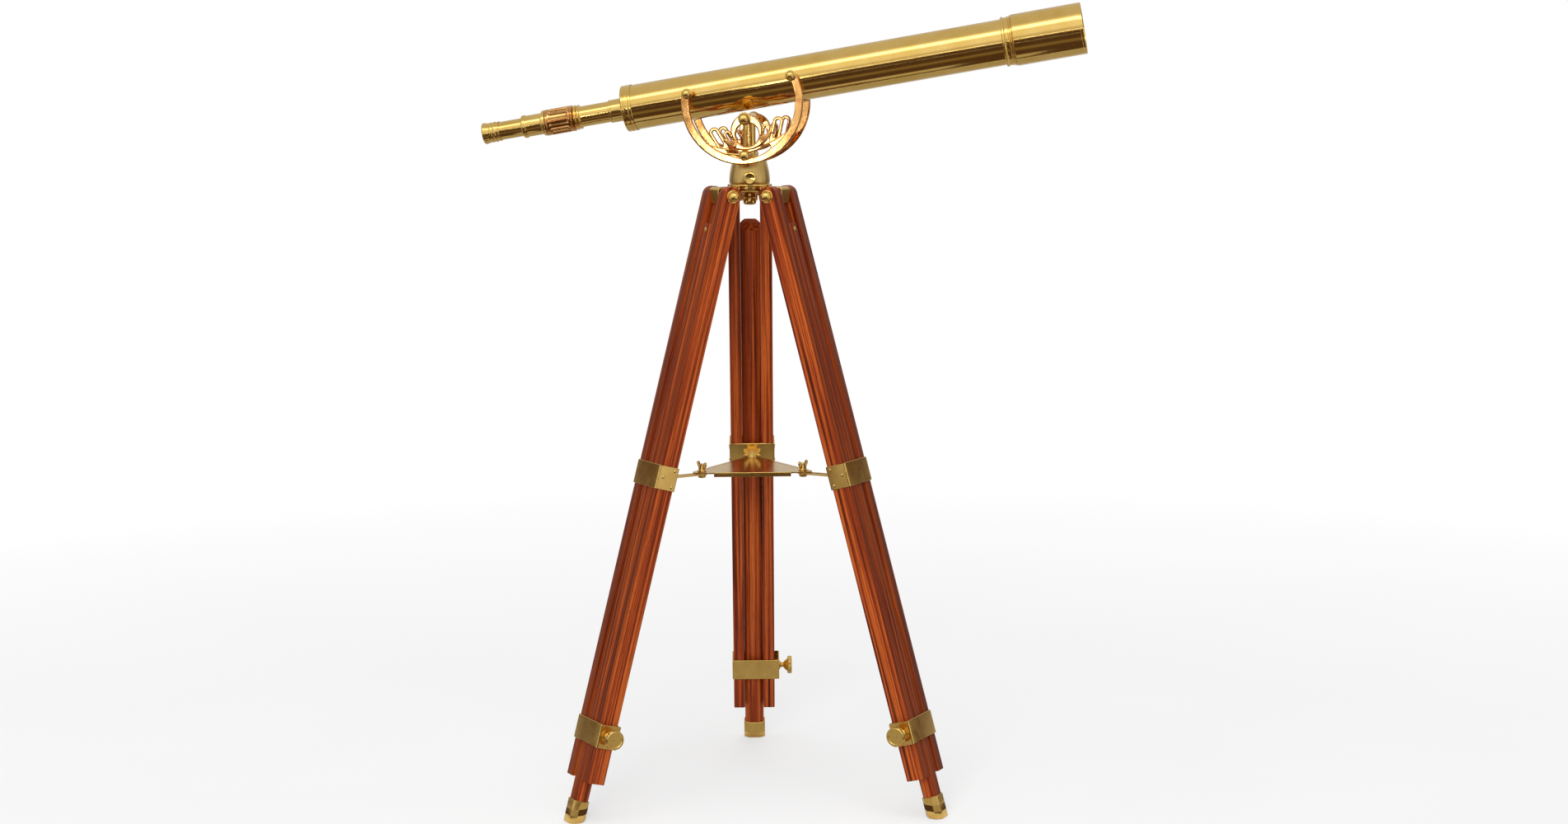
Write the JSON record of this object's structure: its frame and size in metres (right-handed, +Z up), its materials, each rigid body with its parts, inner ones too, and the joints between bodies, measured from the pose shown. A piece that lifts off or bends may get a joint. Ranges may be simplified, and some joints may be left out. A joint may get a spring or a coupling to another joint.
{
  "type": "brass telescope on a wooden tripod",
  "caption": "Refracting telescope of polished brass in an anchor-shaped cradle, on a folding mahogany tripod with sliding legs, brass bands and a central spreader.",
  "frame": {"origin": "middle of the footprint of the whole object, on the floor it stands on", "axes": "+Z up; +Y towards the rear leg; +X towards the objective end of the telescope, which is turned 9 degrees about Z from +X towards -Y and raised 9.4 degrees"},
  "size_m": [0.7812, 0.4514, 1.0349],
  "materials": {
    "polished_brass": "polished lacquered brass",
    "copper_bronze": "polished copper-toned cast brass",
    "satin_brass": "fine-turned satin brass",
    "mahogany": "reeded red mahogany, satin varnish",
    "optical_glass": "clear coated optical glass"
  },
  "bodies": {
    "root": {"head_casting": "polished_brass"},
    "azimuth": {"bell_pillar": "satin_brass", "azimuth_spindle": "polished_brass", "saddle_post": "polished_brass", "pivot_bolt": "polished_brass", "pivot_nut": "polished_brass", "lock_bolt": "polished_brass"},
    "azimuth_lock": {"azimuth_lock_screw": "polished_brass"},
    "altitude_lock": {"lock_lever": "polished_brass"},
    "cradle": {"cradle_plate_front": "copper_bronze", "cradle_plate_rear": "copper_bronze", "cradle_screw_front_eye_end": "polished_brass", "cradle_screw_front_lens_end": "polished_brass", "cradle_screw_rear_eye_end": "polished_brass", "cradle_screw_rear_lens_end": "polished_brass", "main_tube": "polished_brass", "tube_end_cap": "polished_brass", "objective_cell": "polished_brass", "dew_shield": "polished_brass", "crown_lens": "optical_glass", "flint_lens": "optical_glass"},
    "draw": {"draw_tube": "polished_brass", "eyepiece_holder": "polished_brass", "erector_lens": "optical_glass"},
    "zoom_ring": {"fluted_sleeve": "copper_bronze"},
    "eyepiece": {"eyepiece_tube": "polished_brass", "eyecup": "polished_brass", "eye_lens": "optical_glass", "field_lens": "optical_glass"},
    "spreader": {"spreader_plate": "polished_brass"},
    "leg_rear": {"leg_rear_rail_near": "mahogany", "leg_rear_rail_far": "mahogany", "leg_rear_bolt": "polished_brass", "leg_rear_mid_band": "polished_brass", "leg_rear_low_band": "polished_brass"},
    "slide_rear": {"leg_rear_slide": "mahogany", "leg_rear_shoe": "polished_brass"},
    "clamp_rear": {"leg_rear_thumbscrew": "polished_brass"},
    "strap_rear": {"strap_rear": "polished_brass"},
    "wing_rear": {"wing_screw_rear": "polished_brass"},
    "leg_left": {"leg_left_rail_near": "mahogany", "leg_left_rail_far": "mahogany", "leg_left_bolt": "polished_brass", "leg_left_mid_band": "polished_brass", "leg_left_low_band": "polished_brass"},
    "slide_left": {"leg_left_slide": "mahogany", "leg_left_shoe": "polished_brass"},
    "clamp_left": {"leg_left_thumbscrew": "polished_brass"},
    "strap_left": {"strap_left": "polished_brass"},
    "wing_left": {"wing_screw_left": "polished_brass"},
    "leg_right": {"leg_right_rail_near": "mahogany", "leg_right_rail_far": "mahogany", "leg_right_bolt": "polished_brass", "leg_right_mid_band": "polished_brass", "leg_right_low_band": "polished_brass"},
    "slide_right": {"leg_right_slide": "mahogany", "leg_right_shoe": "polished_brass"},
    "clamp_right": {"leg_right_thumbscrew": "polished_brass"},
    "strap_right": {"strap_right": "polished_brass"},
    "wing_right": {"wing_screw_right": "polished_brass"}
  },
  "joints": [
    {"name": "azimuth_turn", "type": "hinge", "parent": "root", "child": "azimuth", "pos_m": [-0.03994, -0.05568, 0.816], "axis": [0, 0, 1], "continuous": true},
    {"name": "azimuth_lock_turn", "type": "hinge", "parent": "azimuth", "child": "azimuth_lock", "pos_m": [-0.03994, -0.05568, 0.816], "axis": [0, -1, 0], "range_deg": [0, 360]},
    {"name": "altitude_tilt", "type": "hinge", "parent": "azimuth", "child": "cradle", "pos_m": [-0.03994, -0.05568, 0.892], "axis": [-0.1564, -0.9877, 0], "range_deg": [-39, 20.5]},
    {"name": "altitude_lock_turn", "type": "hinge", "parent": "azimuth", "child": "altitude_lock", "pos_m": [-0.03994, -0.05568, 0.8456], "axis": [-0.1564, -0.9877, 0], "range_deg": [0, 80]},
    {"name": "draw_focus", "type": "slide", "parent": "cradle", "child": "draw", "axis": [-0.9744, 0.1543, -0.1633], "range_m": [-0.03, 0.035]},
    {"name": "zoom_ring_turn", "type": "hinge", "parent": "draw", "child": "zoom_ring", "pos_m": [-0.0463, -0.05468, 0.93087], "axis": [0.9744, -0.1543, 0.1633], "range_deg": [-90, 90]},
    {"name": "eyepiece_zoom", "type": "slide", "parent": "draw", "child": "eyepiece", "axis": [-0.9744, 0.1543, -0.1633], "range_m": [-0.0042, 0.0042]},
    {"name": "leg_left_fold", "type": "hinge", "parent": "root", "child": "leg_left", "pos_m": [-0.07657, -0.07683, 0.7933], "axis": [0.5, -0.866, 0], "range_deg": [0, 5]},
    {"name": "leg_left_extend", "type": "slide", "parent": "leg_left", "child": "slide_left", "axis": [-0.2365, -0.1366, -0.962], "range_m": [-0.015, 0.3]},
    {"name": "leg_left_clamp_turn", "type": "hinge", "parent": "leg_left", "child": "clamp_left", "pos_m": [-0.24385, -0.17341, 0.11299], "axis": [0.5, -0.866, 0], "range_deg": [0, 360]},
    {"name": "strap_left_swing", "type": "hinge", "parent": "leg_left", "child": "strap_left", "pos_m": [-0.14776, -0.11793, 0.4326], "axis": [0.5, -0.866, 0], "range_deg": [-5, 0]},
    {"name": "leg_rear_fold", "type": "hinge", "parent": "root", "child": "leg_rear", "pos_m": [-0.03994, -0.01338, 0.7933], "axis": [-1, 0, 0], "range_deg": [0, 5]},
    {"name": "leg_rear_extend", "type": "slide", "parent": "leg_rear", "child": "slide_rear", "axis": [0, 0.2731, -0.962], "range_m": [-0.015, 0.3]},
    {"name": "leg_rear_clamp_turn", "type": "hinge", "parent": "leg_rear", "child": "clamp_rear", "pos_m": [-0.03994, 0.17977, 0.11299], "axis": [1, 0, 0], "range_deg": [0, 360]},
    {"name": "strap_rear_swing", "type": "hinge", "parent": "leg_rear", "child": "strap_rear", "pos_m": [-0.03994, 0.06882, 0.4326], "axis": [-1, 0, 0], "range_deg": [-5, 0]},
    {"name": "leg_right_fold", "type": "hinge", "parent": "root", "child": "leg_right", "pos_m": [-0.00331, -0.07683, 0.7933], "axis": [0.5, 0.866, 0], "range_deg": [0, 5]},
    {"name": "leg_right_extend", "type": "slide", "parent": "leg_right", "child": "slide_right", "axis": [0.2365, -0.1366, -0.962], "range_m": [-0.015, 0.3]},
    {"name": "leg_right_clamp_turn", "type": "hinge", "parent": "leg_right", "child": "clamp_right", "pos_m": [0.16396, -0.17341, 0.11299], "axis": [-0.5, -0.866, 0], "range_deg": [0, 360]},
    {"name": "strap_right_swing", "type": "hinge", "parent": "leg_right", "child": "strap_right", "pos_m": [0.06788, -0.11793, 0.4326], "axis": [0.5, 0.866, 0], "range_deg": [-5, 0]},
    {"name": "spreader_lift", "type": "slide", "parent": "root", "child": "spreader", "axis": [0, 0, 1], "range_m": [-0.00581, 0]},
    {"name": "wing_rear_turn", "type": "hinge", "parent": "spreader", "child": "wing_rear", "pos_m": [-0.03994, 0.02032, 0.437], "axis": [0, 0, 1], "range_deg": [0, 360]},
    {"name": "wing_left_turn", "type": "hinge", "parent": "spreader", "child": "wing_left", "pos_m": [-0.10576, -0.09368, 0.437], "axis": [0, 0, 1], "range_deg": [0, 360]},
    {"name": "wing_right_turn", "type": "hinge", "parent": "spreader", "child": "wing_right", "pos_m": [0.02588, -0.09368, 0.437], "axis": [0, 0, 1], "range_deg": [0, 360]}
  ],
  "couplings": [
    {"joint": "eyepiece_zoom", "follows": "zoom_ring_turn", "m_per_rad": 0.002546},
    {"joint": "strap_left_swing", "follows": "leg_left_fold", "ratio": -1},
    {"joint": "leg_rear_fold", "follows": "leg_left_fold", "ratio": 1},
    {"joint": "strap_rear_swing", "follows": "leg_left_fold", "ratio": -1},
    {"joint": "leg_right_fold", "follows": "leg_left_fold", "ratio": 1},
    {"joint": "strap_right_swing", "follows": "leg_left_fold", "ratio": -1},
    {"joint": "spreader_lift", "follows": "leg_left_fold", "m_per_rad": -0.0664}
  ]
}
